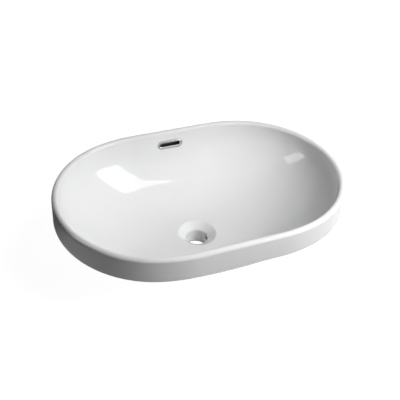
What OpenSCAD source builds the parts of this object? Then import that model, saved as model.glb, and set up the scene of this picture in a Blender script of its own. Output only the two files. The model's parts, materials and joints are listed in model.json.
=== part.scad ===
// Inset oval basin: a glazed ceramic bowl whose band stands on the worktop,
// an overflow at the back and an open outlet with no waste fitted.
// Origin: under the outlet, at the middle of the rim. +X along the rim, +Y to the back.

/* [Rim] */
// Length of the rim, end to end
rim_length = 600; // [580:5:640]
// Width of the rim, front to back
rim_width = 400; // [390:5:420]
// Thickness of the rim, which has a full round on top
rim_thickness = 14; // [12:0.5:16]
// How much larger the radius of the rim's shoulders is than that of its ends
shoulder_growth = 80; // [40:10:100]
// Height of the band that shows above the worktop
band_height = 54.5; // [50:0.5:60]
// Radius along the band's bottom edge
band_foot_radius = 4; // [2:0.5:5]

/* [Bowl] */
// Depth from the top of the rim to the floor round the outlet
bowl_depth = 143; // [135:1:150]
// How flat the floor is, where 2 is an ellipse
floor_power = 2.3; // [2:0.1:2.6]
// How full the wall is, where 2 is an ellipse
wall_power = 1.8; // [1.5:0.1:1.9]
// How far the bowl's outline turns from the rim's into an ellipse, lower down
ellipse_share = 0.6; // [0:0.1:1]
// Thickness of the bowl's shell
shell_thickness = 9; // [8:0.5:11]

/* [Outlet] */
// Diameter of the outlet bore
outlet_diameter = 45; // [43:0.5:46]
// How far the outlet lies behind the middle of the rim
outlet_setback = 8; // [0:1:14]
// Diameter of the dished seat round the bore
seat_diameter = 82; // [78:1:86]
// Slope of the seat
seat_slope = 36; // [30:1:38]
// Height of the outlet, from its underside to the floor
outlet_height = 45; // [44:1:52]
// Outer diameter of the outlet tube
tube_diameter = 66; // [62:1:66]
// Width of each overflow slot in the outlet tube
slot_width = 16; // [14:1:18]
// Height of each overflow slot in the outlet tube
slot_height = 8; // [6:0.5:9]

/* [Overflow] */
// Drop from the top of the rim to the middle of the overflow
overflow_drop = 31; // [28:0.5:33]
// Length of the overflow ring's rim
ring_length = 57; // [54:1:60]
// Height of the overflow ring's rim
ring_height = 19; // [18:0.5:20]
// How far the overflow ring stands out from its seat
ring_crown = 2.4; // [2:0.1:3]
// Length of the ring's collar behind the seat
collar_length = 8; // [7:0.5:8]
// Thickness of the ceramic that the overflow ring grips
grip_wall = 5.5; // [5:0.5:6]
// Depth of the passage behind the ring
passage_depth = 6; // [5.5:0.5:6.5]
// Wall thickness of the overflow channel
channel_wall = 5; // [4:0.5:5.5]

/* [Hidden] */
$fn = 96;
eps = 0.01;

// Rim outline: round ends, wider rounds at the shoulders and straight sides.
// End and shoulder meet where the outline faces the direction turn_cut.
half_length = rim_length / 2;
half_width = rim_width / 2;
turn_cut = [0.28, 0.96];
turn_angle = atan2(turn_cut.y, turn_cut.x);
end_radius = half_width - (1 - turn_cut.y) * shoulder_growth;
shoulder_radius = end_radius + shoulder_growth;
end_centre = [half_length - end_radius, 0];
shoulder_centre = end_centre - shoulder_growth * turn_cut;

// Heights
lip_radius = rim_thickness / 2;
floor_z = outlet_height;
rim_top = floor_z + bowl_depth;
spring_z = rim_top - lip_radius;
ledge_z = rim_top - band_height;
underfloor_z = floor_z - shell_thickness;

// Bowl: where the wall leaves the lip, and the flat disc round the outlet
lip_bite = 0.5;
wall_inset = rim_thickness - lip_bite;
floor_flat = 4;
floor_radius = seat_diameter / 2 + floor_flat;
wall_drop = spring_z - floor_z;
band_core = 34;
dish_clearance = 5;
inner_steps = 22;
outer_steps = 18;
outer_start = 12;
end_steps = 15;
shoulder_steps = 4;
side_steps = 5;
quarter_steps = end_steps + shoulder_steps + side_steps;
ring_steps = 4 * quarter_steps;

// Outlet seat: a round edge, a cone and a round edge into the bore
bore_radius = outlet_diameter / 2;
tube_radius = tube_diameter / 2;
seat_radius = seat_diameter / 2;
seat_edge_round = 8;
bore_edge_round = 4;
seat_entry = 10;
seat_centre = [seat_radius + seat_edge_round * sin(seat_entry), floor_z - seat_edge_round * cos(seat_entry)];
cone_top = seat_centre + seat_edge_round * [-sin(seat_slope), cos(seat_slope)];
cone_run = cone_top.x - bore_radius - bore_edge_round * (1 - sin(seat_slope));
cone_foot = cone_top - cone_run * [1, tan(seat_slope)];
bore_top = cone_foot.y - bore_edge_round * cos(seat_slope);
slot_margin = 3;
slot_top = bore_top - slot_margin;
cut_past = 2;

// Overflow chamber round the outlet tube
tube_stub = 8;
chamber_gap = 9;
chamber_radius = tube_radius + chamber_gap;
chamber_roof = 1.5;
chamber_top = underfloor_z - chamber_roof;
chamber_floor = tube_stub + channel_wall;
chamber_outer = chamber_radius + channel_wall;

// Overflow ring, its sleeve and the hole that they fit
ring_run = ring_length - ring_height;
bezel_radius = ring_height / 2;
bezel_lap = 3;
bezel_edge = 0.8;
hole_radius = bezel_radius - bezel_lap;
fin_reach = 0.7;
sleeve_wall = 0.8;
sleeve_gap = 0.35;
collar_wall = 1.2;
collar_outer = hole_radius - fin_reach - sleeve_wall;
collar_inner = collar_outer - collar_wall;
fin_foot = 0.9;
fin_tip = 0.3;
fin_pitch = 1.5;
fin_count = 3;
barb_reach = 0.4;
barb_drop = 1.4;
seat_sink = 0.6;
seat_gap = 0.3;

// Overflow passage, from behind the ring down to the chamber
passage_side = 1.5;
passage_over = 2;
passage_width = ring_run + 2 * (hole_radius + passage_side);
passage_head = hole_radius + passage_over;
passage_steps = 16;
passage_bite = 1;
shell_left = shell_thickness - passage_bite;
thinning_end = 60;
channel_root = 3;
channel_key = 2;
gutter_width = passage_width + 2 * channel_wall;
passage_end = outlet_setback + tube_radius + chamber_gap / 3;
hole_depth = grip_wall - seat_sink + passage_depth / 2;

// Points on the three parts of a quarter of the rim's outline, moved in by inset
function end_point(share, inset) =
    end_centre + (end_radius - inset) * [cos(share * turn_angle), sin(share * turn_angle)];
function shoulder_point(share, inset) =
    let (turn = turn_angle + share * (90 - turn_angle))
    shoulder_centre + (shoulder_radius - inset) * [cos(turn), sin(turn)];
function side_point(share, inset) = [(1 - share) * shoulder_centre.x, half_width - inset];

function quarter_point(step, inset) =
    let (past_end = step - end_steps, past_shoulder = past_end - shoulder_steps)
    past_end <= 0 ? end_point(step / end_steps, inset) :
    past_shoulder <= 0 ? shoulder_point(past_end / shoulder_steps, inset) :
    side_point(past_shoulder / side_steps, inset);

// The same all the way round, by mirrored quarters
function rim_point(i, inset) =
    let (quarter = floor(i / quarter_steps), step = i % quarter_steps)
    let (p = quarter_point(quarter % 2 == 0 ? step : quarter_steps - step, inset))
    [(quarter == 0 || quarter == 3 ? 1 : -1) * p.x, (quarter < 2 ? 1 : -1) * p.y];

// The bowl's section: reach is 1 at the wall and 0 at the floor disc
function bowl_reach(t) = max(cos(t), 0) ^ (2 / floor_power);
function bowl_fall(t) = sin(t) ^ (2 / wall_power);

// One level ring of the bowl: the rim's outline turns into an ellipse on the way
// down, and both shrink to the floor disc
function bowl_ring(t, inset, fall) = [
    for (i = [0 : ring_steps - 1])
        let (turn = 360 * i / ring_steps, reach = bowl_reach(t), share = ellipse_share * sin(t) ^ 2)
        let (oval = [(half_length - inset) * cos(turn), (half_width - inset) * sin(turn)])
        let (wall = (1 - share) * rim_point(i, inset) + share * oval)
        let (disc = [floor_radius * cos(turn), outlet_setback + floor_radius * sin(turn)])
        let (p = reach * wall + (1 - reach) * disc)
        [p.x, p.y, spring_z - fall * bowl_fall(t)]
];

function flat_ring(ring, z) = [for (p = ring) [p.x, p.y, z]];

// The faces of a stack of rings, closed at both ends
function stack_faces(levels) = concat(
    [[for (i = [ring_steps - 1 : -1 : 0]) i]],
    [
        for (k = [0 : levels - 2], i = [0 : ring_steps - 1])
            let (j = (i + 1) % ring_steps, a = k * ring_steps, b = a + ring_steps)
            each [[a + i, b + j, b + i], [a + i, a + j, b + j]]
    ],
    [[for (i = [0 : ring_steps - 1]) (levels - 1) * ring_steps + i]]
);

module ring_stack(rings) {
    polyhedron(points = [for (ring = rings) each ring], faces = stack_faces(len(rings)), convexity = 4);
}

// The space inside the bowl, carried on up through the rim
module dish_space() {
    top = bowl_ring(0, wall_inset, wall_drop);
    ring_stack(concat(
        [flat_ring(top, rim_top + dish_clearance)],
        [for (k = [0 : inner_steps]) bowl_ring(90 * k / inner_steps, wall_inset, wall_drop)]
    ));
}

// The bowl's outside, from inside the band down to the underside of the floor
module bowl_outside() {
    inset = wall_inset - shell_thickness;
    fall = wall_drop + shell_thickness;
    ring_stack([
        for (k = [0 : outer_steps])
            bowl_ring(outer_start + (90 - outer_start) * k / outer_steps, inset, fall)
    ]);
}

// Section of the band: x is the inset from the outline, y is the height
module band_section() {
    difference() {
        translate([0, ledge_z]) square([band_core, spring_z - ledge_z]);
        difference() {
            translate([-eps, ledge_z - eps]) square(band_foot_radius + eps);
            translate([band_foot_radius, ledge_z + band_foot_radius]) circle(band_foot_radius);
        }
    }
    translate([lip_radius, spring_z]) circle(lip_radius);
}

// A full turn of the band's section, kept between two directions from its centre
module band_turn(centre, radius, from, to) {
    reach = 2 * half_length;
    translate(centre) intersection() {
        rotate_extrude() translate([radius, 0]) mirror([1, 0]) band_section();
        linear_extrude(rim_top + cut_past) polygon([[0, 0], reach * from, reach * (from + to), reach * to]);
    }
}

// The band's section swept round the rim's outline
module band() {
    for (side = [0, 1]) mirror([side, 0]) {
        band_turn(end_centre, end_radius, [turn_cut.x, -turn_cut.y], turn_cut);
        for (back = [0, 1]) mirror([0, back])
            band_turn(shoulder_centre, shoulder_radius, turn_cut, [0, 1]);
    }
    for (back = [0, 1]) mirror([0, back])
        translate([-shoulder_centre.x, half_width]) rotate([90, 0, 90])
            linear_extrude(2 * shoulder_centre.x) mirror([1, 0]) band_section();
}

// The bowl's section down the middle of its back: [y, z]
function section_point(t) =
    let (reach = bowl_reach(t), wall_y = half_width - wall_inset, disc_y = outlet_setback + floor_radius)
    [reach * wall_y + (1 - reach) * disc_y, spring_z - wall_drop * bowl_fall(t)];

// The direction that faces out of the shell there
function section_normal(t) =
    let (step = section_point(min(t + 1, 90)) - section_point(t - 1))
    [-step.y, step.x] / norm(step);

function section_offset(t, distance) = section_point(t) + distance * section_normal(t);

// The angle at which the bowl's wall is a given drop below the rim
function angle_at_drop(drop) = asin(((drop - lip_radius) / wall_drop) ^ (wall_power / 2));

overflow_t = angle_at_drop(overflow_drop);
passage_t = angle_at_drop(overflow_drop - passage_head);
overflow_tilt = atan2(-section_normal(overflow_t).y, section_normal(overflow_t).x);

// How much shell is left inside the passage, thinnest where the ring grips it
function passage_inner(t) =
    grip_wall + (shell_left - grip_wall) * min(max((t - overflow_t) / (thinning_end - overflow_t), 0), 1);
function passage_angle(k) = passage_t + (90 - passage_t) * k / passage_steps;

// Two half discs joined by a straight run
module oblong(run, radius) {
    square([run, 2 * radius], center = true);
    for (side = [-1, 1]) translate([side * run / 2, 0]) circle(radius);
}

// A section swept round an oblong: x is the distance from its middle line
module oblong_sweep(run) {
    for (turn = [0, 180]) rotate([0, 0, turn]) {
        translate([run / 2, 0]) rotate([0, 0, -90]) rotate_extrude(angle = 180) children();
        translate([-run / 2, 0]) rotate([90, 0, 90]) linear_extrude(run) children();
    }
}

// Moves to the middle of the overflow's seat, with +Z out into the bowl
module at_overflow() {
    seat = section_offset(overflow_t, seat_sink);
    translate([0, seat.x, seat.y]) rotate([90 - overflow_tilt, 0, 0]) children();
}

// An outline in the plane of the bowl's back section, given a width along X
module across(width) {
    translate([-width / 2, 0]) rotate([90, 0, 90]) linear_extrude(width) children();
}

// The water passage that the overflow hole opens into
module passage() {
    across(passage_width) polygon(concat(
        [for (k = [0 : passage_steps])
            let (t = passage_angle(k)) section_offset(t, passage_inner(t) + passage_depth)],
        [
            [passage_end, floor_z - shell_left - passage_depth],
            [passage_end, floor_z - shell_left]
        ],
        [for (k = [passage_steps : -1 : 0])
            let (t = passage_angle(k)) section_offset(t, passage_inner(t))]
    ));
}

// The bore, its seat and the rounded edges between them, as one turned space
module outlet_space() {
    translate([0, outlet_setback]) rotate_extrude() difference() {
        polygon([
            [0, -cut_past], [bore_radius, -cut_past], [bore_radius, bore_top], cone_foot,
            cone_top, [seat_radius, floor_z], [seat_radius, floor_z + cut_past], [0, floor_z + cut_past]
        ]);
        translate(seat_centre) circle(seat_edge_round);
        translate([bore_radius + bore_edge_round, bore_top]) circle(bore_edge_round);
    }
}

// Slots to both sides of the outlet tube, where the overflow water comes in
module outlet_slots() {
    slot_run = slot_width - slot_height;
    translate([0, outlet_setback, slot_top - slot_height / 2]) rotate([90, 0, 90])
        linear_extrude(2 * (tube_radius + cut_past), center = true) oblong(slot_run, slot_height / 2);
}

module overflow_hole() {
    at_overflow() {
        translate([0, 0, -hole_depth]) linear_extrude(hole_depth + cut_past) oblong(ring_run, hole_radius);
        linear_extrude(lip_radius) oblong(ring_run, bezel_radius + seat_gap);
    }
}

module outlet_tube() {
    translate([0, outlet_setback]) cylinder(r = tube_radius, h = underfloor_z + shell_thickness / 2);
}

// The gutter from the passage's head down to the chamber, its head let into the band
module gutter() {
    across(gutter_width) difference() {
        polygon(concat(
            [for (k = [0 : passage_steps])
                let (t = passage_angle(k))
                section_offset(t, passage_inner(t) + passage_depth + channel_wall)],
            [
                [outlet_setback, floor_z - shell_left - passage_depth - channel_wall],
                [outlet_setback, floor_z - channel_root]
            ],
            [for (k = [passage_steps : -1 : 0]) section_offset(passage_angle(k), channel_root)]
        ));
        translate([0, ledge_z + channel_key]) square([rim_width, band_height]);
    }
}

// One casting: the rim's band, the bowl and the outlet tube
module basin_body() {
    color([0.94, 0.94, 0.93]) difference() {
        union() {
            difference() {
                band();
                gutter();
            }
            bowl_outside();
            outlet_tube();
        }
        dish_space();
        outlet_space();
        outlet_slots();
        passage();
        overflow_hole();
    }
}

// The separately cast gutter and chamber that are luted on under the bowl
module overflow_channel() {
    color([0.86, 0.85, 0.82]) difference() {
        union() {
            gutter();
            translate([0, outlet_setback, tube_stub])
                cylinder(r = chamber_outer, h = underfloor_z - tube_stub + channel_root);
        }
        bowl_outside();
        passage();
        translate([0, outlet_setback, chamber_floor]) cylinder(r = chamber_radius, h = chamber_top - chamber_floor);
        translate([0, outlet_setback, -cut_past]) cylinder(r = tube_radius, h = floor_z);
    }
}

// Section of the ring: a domed rim with a collar behind it
module ring_section() {
    dome_rise = ring_crown - bezel_edge;
    half_face = (bezel_radius - collar_inner) / 2;
    dome_radius = (half_face ^ 2 + dome_rise ^ 2) / (2 * dome_rise);
    intersection() {
        translate([collar_inner, 0]) square([2 * half_face, ring_crown]);
        translate([collar_inner + half_face, ring_crown - dome_radius]) circle(dome_radius);
    }
    translate([collar_inner, -collar_length]) square([collar_wall, collar_length + bezel_edge]);
}

module overflow_ring() {
    color([0.75, 0.76, 0.78]) at_overflow() oblong_sweep(ring_run) ring_section();
}

// One soft fin of the sleeve, wide at its foot and blunt at its tip
module fin_section(height, tip) {
    foot = collar_outer + sleeve_wall / 2;
    polygon([
        [foot, height - fin_foot / 2], [tip, height - fin_tip / 2],
        [tip, height + fin_tip / 2], [foot, height + fin_foot / 2]
    ]);
}

module sleeve_section() {
    barb_height = -(grip_wall - seat_sink) - barb_drop;
    translate([collar_outer, -collar_length + fin_foot]) square([sleeve_wall, collar_length - fin_foot - sleeve_gap]);
    for (k = [0 : fin_count - 1]) fin_section(-fin_foot - k * fin_pitch, hole_radius);
    fin_section(barb_height, hole_radius + barb_reach);
}

// Soft finned sleeve that grips the hole
module overflow_sleeve() {
    color([0.8, 0.8, 0.8]) at_overflow() oblong_sweep(ring_run) sleeve_section();
}

basin_body();
overflow_channel();
overflow_ring();
overflow_sleeve();
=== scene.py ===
# %% [markdown]
# # An inset oval basin in glazed ceramic
#
# This is a white basin that stands on a worktop by a low band. It is one ceramic casting
# with a chrome overflow ring in its back wall and an open outlet in its floor. The cells
# below build its smooth surfaces round a measured frame, give each piece its finish, and
# light it as a product photograph is lit.

# %% Start from the measured frame
import json
import math
import bmesh
import bpy
from mathutils import Matrix, Vector


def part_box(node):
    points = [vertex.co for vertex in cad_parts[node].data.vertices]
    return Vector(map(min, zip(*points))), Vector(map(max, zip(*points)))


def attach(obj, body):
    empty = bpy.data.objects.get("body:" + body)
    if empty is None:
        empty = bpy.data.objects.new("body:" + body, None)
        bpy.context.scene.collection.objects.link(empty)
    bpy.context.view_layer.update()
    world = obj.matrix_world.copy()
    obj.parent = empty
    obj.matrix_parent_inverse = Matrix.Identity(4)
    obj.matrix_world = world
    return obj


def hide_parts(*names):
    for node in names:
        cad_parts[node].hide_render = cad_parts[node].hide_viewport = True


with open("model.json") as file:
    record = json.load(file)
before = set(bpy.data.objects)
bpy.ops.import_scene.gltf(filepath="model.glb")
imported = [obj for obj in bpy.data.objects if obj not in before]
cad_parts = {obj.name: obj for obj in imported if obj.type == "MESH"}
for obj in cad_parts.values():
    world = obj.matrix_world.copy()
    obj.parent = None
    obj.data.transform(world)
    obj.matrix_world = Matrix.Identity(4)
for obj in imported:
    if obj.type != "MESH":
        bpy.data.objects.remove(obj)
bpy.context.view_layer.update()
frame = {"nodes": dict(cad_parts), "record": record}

# %% [markdown]
# ## Sizes
#
# The rim's length and width, its height and the outlet's place come from the frame, so
# the smooth surfaces lie where the measured ones do. The few other sizes are those of the
# object itself: its lip, its wall, its seat and its overflow. The lip is a full round but
# for half a millimetre at its inner edge, where the bowl's wall begins.

# %% Sizes of the casting
mm = 0.001
body_low, body_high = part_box("basin_body")
half_length = body_high[0]
half_width = body_high[1]
rim_top = body_high[2]


def mount(name):
    """A place where another part meets the basin, from the frame's record."""
    return next(m for m in frame["record"]["mounts"] if m["name"] == name)


setback = mount("waste_outlet")["pos_m"][1]
bore_radius = mount("waste_outlet")["dims"]["r_mm"] * mm
ledge_z = mount("worktop_seat")["pos_m"][2]

lip_radius = 7 * mm
lip_tuck = 0.5 * mm
foot_radius = 4 * mm
bowl_depth = 143 * mm
shell_thickness = 9 * mm
wall_inset = 2 * lip_radius - lip_tuck
floor_power = 2.3
wall_power = 1.8
ellipse_share = 0.6
spring_z = rim_top - lip_radius
floor_z = rim_top - bowl_depth
under_z = floor_z - shell_thickness
wall_drop = spring_z - floor_z
print("rim", round(half_length / mm * 2), "by", round(half_width / mm * 2), "mm")
print("floor at", round(floor_z / mm), "mm")

# %% [markdown]
# ## The outlet's section
#
# The flange of a waste lies on a dished seat: a cone with a soft bend above it, where the
# bowl turns down, and another below it, where the bore begins. Each bend is an arc, and the
# places where the cone touches the arcs follow from its slope, so a change of slope or of
# radius keeps the section smooth.

# %% Sizes of the outlet
tube_radius = 33 * mm
seat_radius = 41 * mm
seat_margin = 4 * mm
floor_radius = seat_radius + seat_margin
seat_round = 8 * mm
bore_round = 4 * mm
seat_slope = math.radians(36)
seat_entry = math.radians(10)
seat_centre = (
    seat_radius + seat_round * math.sin(seat_entry),
    floor_z - seat_round * math.cos(seat_entry),
)
cone_top = (
    seat_centre[0] - seat_round * math.sin(seat_slope),
    seat_centre[1] + seat_round * math.cos(seat_slope),
)
cone_run = cone_top[0] - bore_radius - bore_round * (1 - math.sin(seat_slope))
cone_foot = (cone_top[0] - cone_run, cone_top[1] - cone_run * math.tan(seat_slope))
bore_top = cone_foot[1] - bore_round * math.cos(seat_slope)
print("bore starts at", round(bore_top / mm, 1), "mm")

# %% [markdown]
# ## The rim's outline
#
# The rim is an oblong with round ends, whose curve opens to a wider radius at the shoulders
# before it runs out in straight sides. Two arcs meet smoothly when their centres and the
# point between them lie in one line, so the shoulder's centre is found by going back along
# that line. One quarter is worked out, and the other three mirror it.

# %% Radii and centres of the rim's arcs
shoulder_growth = 80 * mm
turn_cut = Vector((0.28, 0.96))
cut_angle = math.atan2(turn_cut.y, turn_cut.x)
end_radius = half_width - (1 - turn_cut.y) * shoulder_growth
shoulder_radius = end_radius + shoulder_growth
end_centre = Vector((half_length - end_radius, 0))
shoulder_centre = end_centre - shoulder_growth * turn_cut
print("end radius", round(end_radius / mm, 1), "mm, shoulder radius", round(shoulder_radius / mm, 1), "mm")

# %% Points of the rim's outline
end_steps = 15
shoulder_steps = 4
side_steps = 5
quarter_steps = end_steps + shoulder_steps + side_steps
fineness = 4
ring_points = 4 * quarter_steps * fineness


def quarter_point(step, inset):
    """A point on a quarter of the outline: its end, its shoulder or its straight side."""
    if step <= end_steps:
        turn = cut_angle * step / end_steps
        return end_centre + (end_radius - inset) * Vector((math.cos(turn), math.sin(turn)))
    step -= end_steps
    if step <= shoulder_steps:
        turn = cut_angle + (math.pi / 2 - cut_angle) * step / shoulder_steps
        return shoulder_centre + (shoulder_radius - inset) * Vector((math.cos(turn), math.sin(turn)))
    return Vector(((1 - (step - shoulder_steps) / side_steps) * shoulder_centre.x, half_width - inset))


def rim_point(i, inset):
    """Point i of the rim's outline, moved in by inset, from mirrored quarters."""
    quarter, step = divmod(i / fineness, quarter_steps)
    x, y = quarter_point(step if quarter % 2 == 0 else quarter_steps - step, inset)
    return (x if quarter in (0, 3) else -x, y if quarter < 2 else -y)


print("points in a ring:", ring_points)

# %% [markdown]
# ## The rings of the bowl
#
# The floor is a circle round the outlet, which lies a little behind the middle. Each level
# of the bowl is a ring that blends from the rim to that circle, and turns from the rim's
# outline into an ellipse on the way down, which is how a potter's loft or a ship's lines
# are drawn. Counting the points of all three outlines in the same order keeps the rings
# from twisting. One power gives the fullness of the wall and another that of the floor.


# %% Rings at each level
def ellipse_point(i, inset):
    """Point i of the ellipse that has the rim's length and width, moved in by inset."""
    turn = 2 * math.pi * i / ring_points
    return ((half_length - inset) * math.cos(turn), (half_width - inset) * math.sin(turn))


def circle_point(i, radius):
    """Point i of a circle round the outlet."""
    turn = 2 * math.pi * i / ring_points
    return (radius * math.cos(turn), setback + radius * math.sin(turn))


def blend(a, b, share):
    """Between two points: the first where share is 0, the second where it is 1."""
    return tuple(p + (q - p) * share for p, q in zip(a, b))


def rim_ring(inset, z):
    """The rim's outline as a ring, moved in by inset."""
    return [(*rim_point(i, inset), z) for i in range(ring_points)]


def circle_ring(radius, z):
    """A circle round the outlet as a ring."""
    return [(*circle_point(i, radius), z) for i in range(ring_points)]


def bowl_reach(t):
    """How far out the bowl still is at t: 1 at the rim, 0 at the floor."""
    return max(math.cos(t), 0) ** (2 / floor_power)


def bowl_fall(t):
    """How far down the bowl is at t: 0 at the rim, 1 at the floor."""
    return math.sin(t) ** (2 / wall_power)


def bowl_ring(t, inset, drop):
    """One level of the bowl: t is 0 at the wall and a right angle at the floor."""
    z = spring_z - drop * bowl_fall(t)
    ring = []
    for i in range(ring_points):
        wall = blend(rim_point(i, inset), ellipse_point(i, inset), ellipse_share * math.sin(t) ** 2)
        ring.append((*blend(wall, circle_point(i, floor_radius), 1 - bowl_reach(t)), z))
    return ring


middle_ring = bowl_ring(math.radians(45), wall_inset, wall_drop)
print("half way round its section the bowl is", round(middle_ring[0][0] / mm * 2), "mm long")

# %% [markdown]
# ## The casting as one skin
#
# The whole casting is one closed skin: down the inside of the bowl, through the outlet,
# out under the tube, up the outside, round the ledge and the band, and over the lip. A
# stack of rings in that order, joined by quads, gives smooth reflections with no seams. A
# sculpted mesh could have the same shape, but its sizes couldn't be changed afterwards.


# %% A closed mesh from a stack of rings
def steps_to(start, stop, count):
    """Even steps from start to stop, without the first."""
    return [start + (stop - start) * k / count for k in range(1, count + 1)]


def arc(start, stop, count):
    """Angles from start to stop, which are in degrees, without the first."""
    return [math.radians(turn) for turn in steps_to(start, stop, count)]


def closed_mesh(name, vertices, faces):
    """A piece from points and faces, with all its faces turned outwards."""
    mesh = bpy.data.meshes.new(name)
    mesh.from_pydata(vertices, [], faces)
    solid = bmesh.new()
    solid.from_mesh(mesh)
    bmesh.ops.recalc_face_normals(solid, faces=solid.faces)
    solid.to_mesh(mesh)
    solid.free()
    piece = bpy.data.objects.new(name, mesh)
    bpy.context.scene.collection.objects.link(piece)
    return piece


def closed_stack(name, rings):
    """A piece whose last ring joins its first, so that it has no ends."""
    count = len(rings[0])
    vertices = [point for ring in rings for point in ring]
    faces = []
    for k in range(len(rings)):
        above, below = k * count, (k + 1) % len(rings) * count
        for i in range(count):
            j = (i + 1) % count
            faces.append((above + i, above + j, below + j, below + i))
    return closed_mesh(name, vertices, faces)


print("a quarter turn in three steps:", [round(math.degrees(a)) for a in arc(0, 90, 3)])

# %% [markdown]
# ### Down the inside
#
# The bowl's rings come first, close together, because its reflections show every change of
# slope. The seat follows with its two bends and the cone between them, and then the bore,
# which ends in a small round at the foot of the tube.

# %% Rings down the inside and through the outlet
bowl_levels = 84
bend_levels = 8
cone_levels = 5
tube_levels = 6
edge_levels = 4
edge_round = 1 * mm
entry_turn = math.degrees(seat_entry)
slope_turn = math.degrees(seat_slope)

inside = [bowl_ring(t, wall_inset, wall_drop) for t in [0] + arc(0, 90, bowl_levels)]
seat = [circle_ring(seat_radius + seat_margin / 2, floor_z), circle_ring(seat_radius, floor_z)]
seat += [
    circle_ring(seat_centre[0] - seat_round * math.sin(a), seat_centre[1] + seat_round * math.cos(a))
    for a in [seat_entry] + arc(entry_turn, slope_turn, bend_levels)
]
seat += [circle_ring(*blend(cone_top, cone_foot, share)) for share in steps_to(0, 1, cone_levels)]
seat += [
    circle_ring(bore_radius + bore_round * (1 - math.sin(a)), bore_top + bore_round * math.cos(a))
    for a in arc(slope_turn, 90, bend_levels)
]
bore = [circle_ring(bore_radius, z) for z in steps_to(bore_top, edge_round, tube_levels)]
bore += [
    circle_ring(bore_radius + edge_round * (1 - math.cos(a)), edge_round * (1 - math.sin(a)))
    for a in arc(0, 90, edge_levels)
]
print("levels inside:", len(inside), "seat:", len(seat), "bore:", len(bore))

# %% [markdown]
# ### Up the outside
#
# The outside follows the inside at the shell's thickness, until it meets the level of the
# ledge that rests on the worktop. The ledge is flat, and a small round foot leads from it
# to the upright band. Two quarter turns make the lip: a round one outside, and one that
# is half a millimetre narrower inside.

# %% Rings up the outside and over the lip
shell_levels = 54
ledge_levels = 4
foot_levels = 6
band_levels = 6
lip_levels = 12

tube = [
    circle_ring(tube_radius - edge_round * (1 - math.sin(a)), edge_round * (1 - math.cos(a)))
    for a in [0] + arc(0, 90, edge_levels)
]
tube += [circle_ring(tube_radius, z) for z in steps_to(edge_round, under_z, tube_levels)]
outside_inset = wall_inset - shell_thickness
outside_drop = wall_drop + shell_thickness
ledge_turn = math.degrees(math.asin(((spring_z - ledge_z) / outside_drop) ** (wall_power / 2)))
outside = [
    bowl_ring(t, outside_inset, outside_drop)
    for t in [math.pi / 2] + arc(90, ledge_turn, shell_levels)
]
inner_edge = outside[-1]
outer_edge = rim_ring(foot_radius, ledge_z)
ledge = [
    [blend(p, q, share) for p, q in zip(inner_edge, outer_edge)]
    for share in steps_to(0, 1, ledge_levels)[:-1]
]
foot = [
    rim_ring(foot_radius * (1 - math.sin(a)), ledge_z + foot_radius * (1 - math.cos(a)))
    for a in [0] + arc(0, 90, foot_levels)
]
band = [rim_ring(0, z) for z in steps_to(ledge_z + foot_radius, spring_z, band_levels)]
lip_reach = wall_inset - lip_radius
lip = [
    rim_ring(lip_radius * (1 - math.cos(a)), spring_z + lip_radius * math.sin(a))
    for a in arc(0, 90, lip_levels)
]
lip += [
    rim_ring(lip_radius + lip_reach * math.sin(a), spring_z + lip_radius * math.cos(a))
    for a in arc(0, 90, lip_levels + 1)[:-1]
]
skin = inside + seat + bore + tube + outside + ledge + foot + band + lip
casting = closed_stack("basin_casting", skin)
print("levels in all:", len(skin), "faces:", len(casting.data.polygons))

# %% [markdown]
# ## Holes in the wall
#
# The overflow hole, the shallow pocket that the ring sits in, the passage behind it and
# the two slots in the outlet tube are cut out with Boolean modifiers, because they cross
# the rings at a slant. Each cutter is a simple prism, and it goes once it has cut.
#
# The ring faces square to the curved wall. So its place is worked out on the bowl's section
# down the middle of the back: a point on the section, the direction out of the shell there,
# and a tilt from the two.

# %% Place and tilt of the overflow
overflow_drop = 31 * mm
seat_sink = 0.6 * mm
seat_gap = 0.3 * mm
ring_length = 57 * mm
ring_height = 19 * mm
ring_run = ring_length - ring_height
bezel_radius = ring_height / 2
bezel_cover = 3 * mm
hole_radius = bezel_radius - bezel_cover
grip_wall = 5.5 * mm
passage_depth = 6 * mm
hole_depth = grip_wall - seat_sink + passage_depth / 2


def section_point(t):
    """The bowl's section down the middle of its back: y and z."""
    reach = bowl_reach(t)
    y = reach * (half_width - wall_inset) + (1 - reach) * (setback + floor_radius)
    return Vector((y, spring_z - wall_drop * bowl_fall(t)))


def section_normal(t):
    """The direction out of the shell there."""
    nudge = math.radians(1)
    step = section_point(min(t + nudge, math.pi / 2)) - section_point(max(t - nudge, 0))
    return Vector((-step.y, step.x)).normalized()


def section_offset(t, distance):
    """The section moved out through the shell by a distance."""
    return section_point(t) + distance * section_normal(t)


def angle_at_drop(drop):
    """The t at which the bowl lies this far below the top of the rim."""
    return math.asin(((drop - lip_radius) / wall_drop) ** (wall_power / 2))


overflow_t = angle_at_drop(overflow_drop)
facing = section_normal(overflow_t)
tilt = math.atan2(-facing.y, facing.x)
seat_middle = section_offset(overflow_t, seat_sink)
overflow_turn = Matrix.Rotation(math.pi / 2 - tilt, 4, "X")
overflow_place = Matrix.Translation((0, seat_middle.x, seat_middle.y)) @ overflow_turn
print("the overflow leans", round(math.degrees(tilt), 1), "degrees")


# %% Prisms to cut with, and the cut itself
def oblong(run, radius, steps=24):
    """Outline of two half discs joined by straight sides."""
    points = []
    for side, start in ((1, -90), (-1, 90)):
        for a in [math.radians(start)] + arc(start, start + 180, steps):
            points.append((side * run / 2 + radius * math.cos(a), radius * math.sin(a)))
    return points


def prism(name, outline, low, high, place):
    """A closed prism on an outline in XY, moved to its place."""
    count = len(outline)
    vertices = [place @ Vector((x, y, z)) for z in (low, high) for x, y in outline]
    faces = [(i, (i + 1) % count, count + (i + 1) % count, count + i) for i in range(count)]
    faces += [tuple(range(count))[::-1], tuple(range(count, 2 * count))]
    return closed_mesh(name, vertices, faces)


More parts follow.
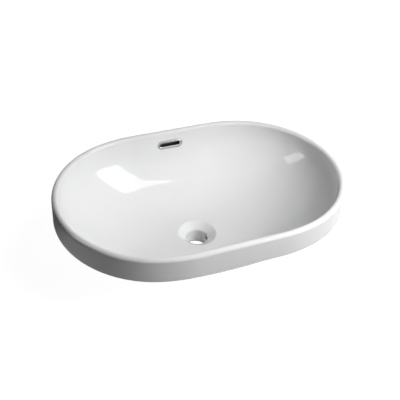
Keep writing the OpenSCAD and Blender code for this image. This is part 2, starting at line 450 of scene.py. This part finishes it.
def cut(piece, cutter):
    """Takes the cutter's space out of the piece and removes the cutter."""
    modifier = piece.modifiers.new("cut", "BOOLEAN")
    modifier.operation = "DIFFERENCE"
    modifier.solver = "EXACT"
    modifier.object = cutter
    bpy.context.view_layer.update()
    seen = piece.evaluated_get(bpy.context.evaluated_depsgraph_get())
    mesh = bpy.data.meshes.new_from_object(seen)
    piece.modifiers.clear()
    piece.data = mesh
    bpy.data.objects.remove(cutter)


hole_outline = oblong(ring_run, hole_radius)
pocket_outline = oblong(ring_run, bezel_radius + seat_gap)
print("points round the hole:", len(hole_outline))

# %% Cut the overflow and the slots
past = 2 * mm
slot_width = 16 * mm
slot_height = 8 * mm
slot_drop = 3 * mm
slot_z = bore_top - slot_drop - slot_height / 2
slot_outline = oblong(slot_width - slot_height, slot_height / 2)
slot_reach = tube_radius + past
across = Matrix(((0, 0, 1, 0), (1, 0, 0, 0), (0, 1, 0, 0), (0, 0, 0, 1)))
slot_place = Matrix.Translation((0, setback, slot_z)) @ across

cut(casting, prism("hole", hole_outline, -hole_depth, past, overflow_place))
cut(casting, prism("pocket", pocket_outline, 0, lip_radius, overflow_place))
cut(casting, prism("slots", slot_outline, -slot_reach, slot_reach, slot_place))
print("faces after the cuts:", len(casting.data.polygons))

# %% [markdown]
# ### The water passage
#
# Water that enters the ring runs down between the shell and a gutter to the outlet. The
# passage is drawn as the bowl's own section, moved out by the wall that stays and by the
# passage's depth, and is then cut across the shell as a prism a little wider than the hole.

# %% Cut the water passage behind the ring
passage_steps = 48
passage_head = 2 * mm
passage_side = 1.5 * mm
passage_past_tube = 3 * mm
gutter_sink = 1 * mm
shell_left = shell_thickness - gutter_sink
thinning_end = math.radians(60)
passage_width = ring_run + 2 * (hole_radius + passage_side)
passage_t = angle_at_drop(overflow_drop - hole_radius - passage_head)
passage_end = setback + tube_radius + passage_past_tube


def passage_inner(t):
    """The wall left between the bowl and the passage."""
    share = min(max((t - overflow_t) / (thinning_end - overflow_t), 0), 1)
    return grip_wall + (shell_left - grip_wall) * share


passage_turns = [passage_t] + steps_to(passage_t, math.pi / 2, passage_steps)
passage_outline = [tuple(section_offset(t, passage_inner(t) + passage_depth)) for t in passage_turns]
passage_outline += [
    (passage_end, floor_z - shell_left - passage_depth),
    (passage_end, floor_z - shell_left),
]
passage_outline += [tuple(section_offset(t, passage_inner(t))) for t in reversed(passage_turns)]
cut(casting, prism("passage", passage_outline, -passage_width / 2, passage_width / 2, across))
print("faces with the passage:", len(casting.data.polygons))

# %% [markdown]
# ## Smooth faces with crisp edges
#
# Glaze hides the casting's polygons, so all faces shade smooth. Only real corners, such as
# the rim of a cut hole, stay sharp, and an angle limit finds those.

# %% Smooth shading
corner_angle = math.radians(32)


def shade(piece, angle=corner_angle):
    """Smooth faces, with sharp edges where two faces meet at more than the angle."""
    piece.data.shade_smooth()
    piece.data.set_sharp_from_angle(angle=angle)


shade(casting)
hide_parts("basin_body")
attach(casting, "root")
print("edges stay sharp above", round(math.degrees(corner_angle)), "degrees")

# %% [markdown]
# ## The overflow ring
#
# The ring is pressed brass with bright chrome: a domed rim and a collar behind it. Its
# section is swept round an oblong, so the dome reflects as one unbroken curve. The dome is
# an arc, and its radius follows from how wide and how high it is.


# %% A section swept round an oblong
def sweep(name, section, run, place, end_count=40, side_count=10):
    """section holds (distance from the middle line, height) pairs, in order round it."""
    path = []
    for side, start in ((1, -90), (-1, 90)):
        for k in range(end_count):
            a = math.radians(start + 180 * k / end_count)
            path.append((side * run / 2, math.cos(a), math.sin(a)))
        for k in range(side_count):
            path.append((side * (run / 2 - run * k / side_count), 0.0, float(side)))
    rings = [[place @ Vector((x + r * c, r * s, z)) for r, z in section] for x, c, s in path]
    return closed_stack(name, rings)


ring_crown = 2.4 * mm
bezel_edge = 0.8 * mm
bezel_bevel = 0.1 * mm
bezel_side = 0.5 * mm
collar_length = 8 * mm
collar_inner = 3.8 * mm
collar_wall = 1.2 * mm
collar_outer = collar_inner + collar_wall
dome_levels = 20
collar_levels = 4
dome_rise = ring_crown - bezel_edge
half_face = (bezel_radius - collar_inner) / 2
dome_radius = (half_face ** 2 + dome_rise ** 2) / (2 * dome_rise)
dome_middle = collar_inner + half_face
dome_turn = math.degrees(math.asin(half_face / dome_radius))
print("dome radius", round(dome_radius / mm, 1), "mm")

# %% The ring's section, and the ring
ring_corner_angle = math.radians(40)
ring_section = [(bezel_radius - bezel_bevel, 0), (bezel_radius, bezel_bevel), (bezel_radius, bezel_side)]
ring_section += [
    (dome_middle + dome_radius * math.sin(a), ring_crown - dome_radius * (1 - math.cos(a)))
    for a in [math.radians(dome_turn)] + arc(dome_turn, -dome_turn, dome_levels)
]
ring_section += [(collar_inner, z) for z in [0] + steps_to(0, -collar_length, collar_levels)]
ring_section += [(collar_outer, -collar_length), (collar_outer, 0)]
overflow_trim = sweep("overflow_trim", ring_section, ring_run, overflow_place)
shade(overflow_trim, ring_corner_angle)
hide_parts("overflow_ring")
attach(overflow_trim, "root")
print("faces in the ring:", len(overflow_trim.data.polygons))

# %% [markdown]
# ## Finishes
#
# All four finishes have a soft mottling, at different scales. An image could give it, but a
# noise has no seams and no repeats. So one node group holds the noise, and each material
# places it with its own scale, detail and pair of colours.

# %% A shared group: soft mottling and its height
color_a, color_b, color_out = 6, 7, 2


def mottle_group():
    """Noise in the object's own space, as a colour between Dark and Light and as a height."""
    group = bpy.data.node_groups.new("kiln_mottle", "ShaderNodeTree")
    face = group.interface
    face.new_socket("Scale", in_out="INPUT", socket_type="NodeSocketFloat").default_value = 20
    face.new_socket("Detail", in_out="INPUT", socket_type="NodeSocketFloat").default_value = 2
    face.new_socket("Light", in_out="INPUT", socket_type="NodeSocketColor").default_value = (1, 1, 1, 1)
    face.new_socket("Dark", in_out="INPUT", socket_type="NodeSocketColor").default_value = (0, 0, 0, 1)
    face.new_socket("Color", in_out="OUTPUT", socket_type="NodeSocketColor")
    face.new_socket("Height", in_out="OUTPUT", socket_type="NodeSocketFloat")
    nodes, links = group.nodes, group.links
    entry, leave = nodes.new("NodeGroupInput"), nodes.new("NodeGroupOutput")
    place = nodes.new("ShaderNodeTexCoord")
    noise = nodes.new("ShaderNodeTexNoise")
    mix = nodes.new("ShaderNodeMix")
    mix.data_type = "RGBA"
    links.new(place.outputs["Object"], noise.inputs["Vector"])
    links.new(entry.outputs["Scale"], noise.inputs["Scale"])
    links.new(entry.outputs["Detail"], noise.inputs["Detail"])
    links.new(noise.outputs["Fac"], mix.inputs["Factor"])
    links.new(entry.outputs["Dark"], mix.inputs[color_a])
    links.new(entry.outputs["Light"], mix.inputs[color_b])
    links.new(mix.outputs[color_out], leave.inputs["Color"])
    links.new(noise.outputs["Fac"], leave.inputs["Height"])
    return group


mottle = mottle_group()
print("group outputs:", [item.name for item in mottle.interface.items_tree if item.in_out == "OUTPUT"])


# %% Material helpers
def new_material(name):
    """A material, its nodes, its links and its shader."""
    material = bpy.data.materials.new(name)
    material.use_nodes = True
    shader = material.node_tree.nodes["Principled BSDF"]
    return material, material.node_tree.nodes, material.node_tree.links, shader


def use_group(nodes, group, **values):
    """A node for the group, with its inputs set by name."""
    node = nodes.new("ShaderNodeGroup")
    node.node_tree = group
    for name, value in values.items():
        node.inputs[name].default_value = value
    return node


def use_mottle(nodes, scale, detail, light, dark):
    """The mottling with its own scale, detail and colours."""
    return use_group(nodes, mottle, Scale=scale, Detail=detail, Light=(*light, 1), Dark=(*dark, 1))


def use_bump(nodes, links, height, shader, strength, distance):
    """Lets the height tilt the shader's normal."""
    bump = nodes.new("ShaderNodeBump")
    bump.inputs["Strength"].default_value = strength
    bump.inputs["Distance"].default_value = distance
    links.new(height, bump.inputs["Height"])
    links.new(bump.outputs["Normal"], shader.inputs["Normal"])


def use_mix(nodes, links, mask, first, second):
    """The first colour where the mask is 0, the second where it is 1."""
    mix = nodes.new("ShaderNodeMix")
    mix.data_type = "RGBA"
    links.new(mask, mix.inputs["Factor"])
    links.new(first, mix.inputs[color_a])
    links.new(second, mix.inputs[color_b])
    return mix.outputs[color_out]


def use_math(nodes, links, operation, *values):
    """The output of a Math node whose inputs are sockets or plain numbers."""
    node = nodes.new("ShaderNodeMath")
    node.operation = operation
    for socket, value in zip(node.inputs, values):
        if isinstance(value, (int, float)):
            socket.default_value = value
        else:
            links.new(value, socket)
    return node.outputs[0]


def dress(piece, material):
    """Gives the piece this material alone."""
    piece.data.materials.clear()
    piece.data.materials.append(material)
    print(piece.name, "wears", material.name)


# %% [markdown]
# ## Where the glaze ends
#
# Glaze would stick to what a basin stands on in the kiln, so the flat faces of its ledge
# and of its tube's end stay bare. The inside of the water passage is matt and painted near
# black, as painted shade that stands in for the dark of a deeper passage.
# Faces picked by hand would be lost with each change of size. Two masks find them instead,
# one by height and by which way a face looks, and the other by a box.

# %% A mask for faces that look down at a given height
level_reach = 0.6 * mm
down_limit = -0.7


def resting_group():
    """1 on faces that look down and lie at Height, 0 on all others."""
    group = bpy.data.node_groups.new("resting_face", "ShaderNodeTree")
    group.interface.new_socket("Height", in_out="INPUT", socket_type="NodeSocketFloat")
    group.interface.new_socket("Mask", in_out="OUTPUT", socket_type="NodeSocketFloat")
    nodes, links = group.nodes, group.links
    entry, leave = nodes.new("NodeGroupInput"), nodes.new("NodeGroupOutput")
    place, shape = nodes.new("ShaderNodeTexCoord"), nodes.new("ShaderNodeNewGeometry")
    where, looks = nodes.new("ShaderNodeSeparateXYZ"), nodes.new("ShaderNodeSeparateXYZ")
    links.new(place.outputs["Object"], where.inputs[0])
    links.new(shape.outputs["True Normal"], looks.inputs[0])
    level = use_math(nodes, links, "COMPARE", where.outputs["Z"], entry.outputs["Height"], level_reach)
    down = use_math(nodes, links, "LESS_THAN", looks.outputs["Z"], down_limit)
    links.new(use_math(nodes, links, "MULTIPLY", level, down), leave.inputs["Mask"])
    return group


resting = resting_group()
print("resting faces at", round(ledge_z / mm, 1), "mm and", round(body_low[2] / mm, 1), "mm")


# %% A mask for the inside of the water passage, behind the ring
def passage_group(low, high):
    """1 inside the box that has these corners, 0 outside it."""
    group = bpy.data.node_groups.new("passage_inside", "ShaderNodeTree")
    group.interface.new_socket("Mask", in_out="OUTPUT", socket_type="NodeSocketFloat")
    nodes, links = group.nodes, group.links
    leave, place = nodes.new("NodeGroupOutput"), nodes.new("ShaderNodeTexCoord")
    where = nodes.new("ShaderNodeSeparateXYZ")
    links.new(place.outputs["Object"], where.inputs[0])
    mask = 1
    for output, a, b in zip(where.outputs, low, high):
        within = use_math(nodes, links, "COMPARE", output, (a + b) / 2, (b - a) / 2)
        mask = use_math(nodes, links, "MULTIPLY", within, mask)
    links.new(mask, leave.inputs["Mask"])
    return group


mask_margin = 1 * mm
passage_front = section_offset(overflow_t, grip_wall - mask_margin)
passage_back = section_offset(passage_t, grip_wall + passage_depth)
mask_side = passage_width / 2 + mask_margin
# The box marks where painted shade darkens the inside of the water passage.
passage_inside = passage_group(
    (-mask_side, passage_front.x, ledge_z + 2 * mask_margin),
    (mask_side, passage_back.x + mask_margin, passage_back.y + 2 * mask_margin),
)
print("passage starts at", [round(value / mm, 1) for value in passage_front],
      "and ends at", [round(value / mm, 1) for value in passage_back])

# %% [markdown]
# ### Glaze
#
# Vitreous glaze is white, glassy and very slightly wavy, because it flows in the kiln. Its
# white is almost even, and its gloss comes from a low roughness with the refraction of
# glass. The clay shows where the masks say so, matt and creamy outside. Inside the passage
# the colour is a matt near black, which is painted shade.

# %% Glaze on the casting
clay_light, clay_dark = (0.80, 0.775, 0.72), (0.72, 0.69, 0.63)
# The near-black pair is painted shade for the inside of the water passage, not a colour of the clay.
passage_shade_light, passage_shade_dark = (0.06, 0.055, 0.05), (0.03, 0.028, 0.025)
glaze_light, glaze_dark = (0.83, 0.832, 0.836), (0.80, 0.802, 0.806)
wave_light, wave_dark = (1, 1, 1), (0, 0, 0)
clay_roughness = 0.75
glaze_roughness = 0.02


def glaze_material():
    """White glaze, with bare clay on the resting faces and near-black painted shade in the passage."""
    material, nodes, links, shader = new_material("glaze")
    tone = use_mottle(nodes, 9, 2, glaze_light, glaze_dark)
    wave = use_mottle(nodes, 26, 1, wave_light, wave_dark)
    clay = use_mottle(nodes, 60, 6, clay_light, clay_dark)
    painted_shade = use_mottle(nodes, 90, 4, passage_shade_light, passage_shade_dark)
    ledge_mask = use_group(nodes, resting, Height=ledge_z).outputs["Mask"]
    tube_mask = use_group(nodes, resting, Height=body_low[2]).outputs["Mask"]
    inside_mask = use_group(nodes, passage_inside).outputs["Mask"]
    bare = use_math(nodes, links, "MAXIMUM", ledge_mask, tube_mask)
    color = use_mix(nodes, links, bare, tone.outputs["Color"], clay.outputs["Color"])
    # Painted shade: the inside of the water passage turns near black.
    color = use_mix(nodes, links, inside_mask, color, painted_shade.outputs["Color"])
    links.new(color, shader.inputs["Base Color"])
    matt = use_math(nodes, links, "MAXIMUM", bare, inside_mask)
    added = clay_roughness - glaze_roughness
    roughness = use_math(nodes, links, "MULTIPLY_ADD", matt, added, glaze_roughness)
    links.new(roughness, shader.inputs["Roughness"])
    shader.inputs["IOR"].default_value = 1.5
    use_bump(nodes, links, wave.outputs["Height"], shader, 0.25, 0.4 * mm)
    return material


dress(casting, glaze_material())

# %% [markdown]
# ### Clay, chrome and soft plastic
#
# The channel under the bowl is fired clay without glaze, matt and creamy, with a fine grain
# that a bump shows. Chrome is a mirror with faint water marks, so its colour hardly changes
# and its roughness is low. The sleeve round the ring's collar is soft, milky plastic.


# %% The other finishes
def clay_material():
    """Bare fired clay with a fine grain."""
    material, nodes, links, shader = new_material("bare_clay")
    tone = use_mottle(nodes, 60, 6, clay_light, clay_dark)
    links.new(tone.outputs["Color"], shader.inputs["Base Color"])
    shader.inputs["Roughness"].default_value = clay_roughness
    use_bump(nodes, links, tone.outputs["Height"], shader, 0.35, 0.6 * mm)
    return material


def chrome_material():
    """Polished chrome with faint water marks."""
    material, nodes, links, shader = new_material("bright_chrome")
    marks = use_mottle(nodes, 300, 3, (0.56, 0.565, 0.57), (0.50, 0.505, 0.51))
    links.new(marks.outputs["Color"], shader.inputs["Base Color"])
    shader.inputs["Metallic"].default_value = 1
    shader.inputs["Roughness"].default_value = 0.06
    return material


def plastic_material():
    """Soft white plastic."""
    material, nodes, links, shader = new_material("soft_plastic")
    tone = use_mottle(nodes, 200, 3, (0.74, 0.74, 0.72), (0.68, 0.68, 0.66))
    links.new(tone.outputs["Color"], shader.inputs["Base Color"])
    shader.inputs["Roughness"].default_value = 0.45
    return material


dress(overflow_trim, chrome_material())
dress(frame["nodes"]["overflow_channel"], clay_material())
dress(frame["nodes"]["overflow_sleeve"], plastic_material())

# %% [markdown]
# ## Camera
#
# The camera stands in front and to the left, well above the rim, and turns a little about
# its own axis. Its place is worked out from the angle, the distance and the point aimed at.
# A lamp is placed in the same way, so both use the same two helpers. A focal length in
# pixels becomes one in millimetres through the width of the picture and of the sensor.


# %% Directions, and things that look back from them
def direction(turn, height):
    """A direction from its turn, from the front to the right, and its height, in degrees."""
    turn, height = math.radians(turn), math.radians(height)
    return Vector((math.sin(turn) * math.cos(height), -math.cos(turn) * math.cos(height), math.sin(height)))


def look_back(middle, towards, distance, lean):
    """The place of something that looks back at the middle and leans by some degrees."""
    facing_in = towards.to_track_quat("Z", "Y").to_matrix().to_4x4()
    leaning = Matrix.Rotation(math.radians(lean), 4, "Z")
    return Matrix.Translation(middle + distance * towards) @ facing_in @ leaning


view_turn = -24.898
view_height = 38.664
view_roll = 4.139
view_distance = 1.435576
aim = Vector((-17.446 * mm, -31.322 * mm, rim_top - 20 * mm))
picture_width = 400
focal_pixels = 727.448
print("the camera looks down by", round(view_height, 1), "degrees")

# %% Camera
camera_data = bpy.data.cameras.new("camera")
camera_data.sensor_width = 36
camera_data.lens = focal_pixels / picture_width * camera_data.sensor_width
camera = bpy.data.objects.new("camera", camera_data)
camera.matrix_world = look_back(aim, direction(view_turn, view_height), view_distance, view_roll)
bpy.context.scene.collection.objects.link(camera)
bpy.context.scene.camera = camera
print("lens in mm:", round(camera_data.lens, 1))

# %% [markdown]
# ## Studio
#
# A product photograph on white has a white floor and backdrop, but the light on the object
# stays moderate, or white glaze would lose its shape. So the background gets its own
# brightness, which the camera, reflections and glass see, while matt surfaces get only a
# trace of light from it.


# %% Background seen by the camera and by reflections
def seen_directly(nodes, links):
    """1 for what the camera, a reflection or glass sees, 0 for light on a matt surface."""
    path = nodes.new("ShaderNodeLightPath")
    camera_ray, mirror_ray = path.outputs["Is Camera Ray"], path.outputs["Is Glossy Ray"]
    either = use_math(nodes, links, "MAXIMUM", camera_ray, mirror_ray)
    return use_math(nodes, links, "MAXIMUM", either, path.outputs["Is Transmission Ray"])


def world_light(strength):
    """A white backdrop, which lights matt surfaces only at this strength."""
    world = bpy.data.worlds.new("studio")
    world.use_nodes = True
    bpy.context.scene.world = world
    nodes, links = world.node_tree.nodes, world.node_tree.links
    nodes.clear()
    out = nodes.new("ShaderNodeOutputWorld")
    mix = nodes.new("ShaderNodeMixShader")
    room, backdrop = nodes.new("ShaderNodeBackground"), nodes.new("ShaderNodeBackground")
    room.inputs["Strength"].default_value = strength
    room.inputs["Color"].default_value = (1, 1, 1, 1)
    backdrop.inputs["Color"].default_value = (1, 1, 1, 1)
    backdrop.inputs["Strength"].default_value = 1
    links.new(seen_directly(nodes, links), mix.inputs["Fac"])
    links.new(room.outputs[0], mix.inputs[1])
    links.new(backdrop.outputs[0], mix.inputs[2])
    links.new(mix.outputs[0], out.inputs["Surface"])


room_light = 0.02
world_light(room_light)
print("light from the room:", room_light)

# %% [markdown]
# ### Floor
#
# The floor shows as plain white and keeps a faint shadow, because a dim matt surface is
# added to an even glow. It lies just under the tube's end, so the two never share a plane.
# From below it is clear, so that the underside can be seen.

# %% Floor
floor_glow = 0.95
floor_grey = 0.25
floor_half = 6.0
floor_gap = 0.2 * mm
floor_height = body_low[2] - floor_gap


def floor_material():
    """Dim and matt for the lamps, glowing for what sees it, and clear from below."""
    material, nodes, links, shader = new_material("studio_floor")
    shader.inputs["Base Color"].default_value = (floor_grey, floor_grey, floor_grey, 1)
    shader.inputs["Roughness"].default_value = 0.9
    shader.inputs["Specular IOR Level"].default_value = 0
    glow = nodes.new("ShaderNodeEmission")
    glow.inputs["Strength"].default_value = floor_glow
    black = nodes.new("ShaderNodeEmission")
    black.inputs["Strength"].default_value = 0
    pick, both = nodes.new("ShaderNodeMixShader"), nodes.new("ShaderNodeAddShader")
    below, clear = nodes.new("ShaderNodeMixShader"), nodes.new("ShaderNodeBsdfTransparent")
    side = nodes.new("ShaderNodeNewGeometry")
    links.new(seen_directly(nodes, links), pick.inputs["Fac"])
    links.new(black.outputs[0], pick.inputs[1])
    links.new(glow.outputs[0], pick.inputs[2])
    links.new(shader.outputs[0], both.inputs[0])
    links.new(pick.outputs[0], both.inputs[1])
    links.new(side.outputs["Backfacing"], below.inputs["Fac"])
    links.new(both.outputs[0], below.inputs[1])
    links.new(clear.outputs[0], below.inputs[2])
    links.new(below.outputs[0], nodes["Material Output"].inputs["Surface"])
    return material


def sheet(name, low, high, z, material):
    """A level rectangle between two corners, which belongs to the studio."""
    corners = [(low[0], low[1], z), (high[0], low[1], z), (high[0], high[1], z), (low[0], high[1], z)]
    mesh = bpy.data.meshes.new(name)
    mesh.from_pydata(corners, [], [(0, 1, 2, 3)])
    piece = bpy.data.objects.new(name, mesh)
    bpy.context.scene.collection.objects.link(piece)
    dress(piece, material)
    return piece


floor_low, floor_high = (-floor_half, -floor_half), (floor_half, floor_half)
sheet("studio_floor", floor_low, floor_high, floor_height, floor_material())

# %% [markdown]
# ### Dark card
#
# Glossy white on a white floor has hardly an edge. Photographers put a dark card beside
# it, so that its sides reflect something dark. This one lies behind the left end, and only
# reflections show it. It fades towards the front, or its own edge would draw a line on the
# band.

# %% Dark card
card_low, card_high = (-0.9, -0.05), (-0.02, 0.9)
card_dark = 0.1
card_fade = 0.25
card_gap = 0.1 * mm


def card_material():
    """Dark at the back, and as pale as the floor at its front edge."""
    material, nodes, links, shader = new_material("graded_card")
    place, where = nodes.new("ShaderNodeTexCoord"), nodes.new("ShaderNodeSeparateXYZ")
    fade, glow = nodes.new("ShaderNodeMapRange"), nodes.new("ShaderNodeEmission")
    fade.interpolation_type = "SMOOTHSTEP"
    ends = (card_low[1], card_low[1] + card_fade, floor_glow, card_dark)
    for name, value in zip(("From Min", "From Max", "To Min", "To Max"), ends):
        fade.inputs[name].default_value = value
    links.new(place.outputs["Object"], where.inputs[0])
    links.new(where.outputs["Y"], fade.inputs["Value"])
    links.new(fade.outputs["Result"], glow.inputs["Strength"])
    links.new(glow.outputs[0], nodes["Material Output"].inputs["Surface"])
    nodes.remove(shader)
    return material


card = sheet("dark_card", card_low, card_high, floor_height + card_gap, card_material())
card.visible_camera = False
card.visible_diffuse = False
card.visible_shadow = False

# %% [markdown]
# ### Soft boxes
#
# A large soft box in front and to the right makes the broad reflection in the left of the
# bowl, and a small box on the left makes the narrow one in its right end. Both show only in
# reflections. The other boxes light the matt surfaces and show in no reflection: three from
# in front and to the right, which leaves the left end of the band in shade, and one from
# behind. Lamps with two jobs would be simpler, but then a brighter reflection would also
# wash out the white glaze round it.


# %% Soft boxes
def soft_box(name, place, size, power, lean=0, reflected=False):
    """An area lamp that either lights the basin or is reflected in it.

    place is a turn and a height in degrees and a distance, and size is a width and a height.
    """
    data = bpy.data.lights.new(name, "AREA")
    data.shape = "RECTANGLE"
    data.size, data.size_y = size
    data.energy = power
    lamp = bpy.data.objects.new(name, data)
    turn, height, distance = place
    lamp.matrix_world = look_back(Vector((0, 0, rim_top)), direction(turn, height), distance, lean)
    lamp.visible_diffuse = not reflected
    lamp.visible_glossy = reflected
    bpy.context.scene.collection.objects.link(lamp)
    print(name, "stands", distance, "m away")


soft_box("key_box", (45.7, 25.9, 3.0), (1.48, 2.35), 44, lean=3.8, reflected=True)
soft_box("near_box", (35, 50, 1.2), (0.6, 0.6), 6.2)
soft_box("high_box", (55, 60, 2.2), (0.8, 0.8), 13)
soft_box("close_box", (40, 30, 1.3), (0.4, 0.4), 7.7)
soft_box("back_box", (180, 5, 2.5), (1.0, 0.6), 24)
soft_box("side_box", (-96, 16, 1.2), (0.28, 0.9), 3.2, lean=-20, reflected=True)
bpy.context.scene.view_settings.view_transform = "Standard"
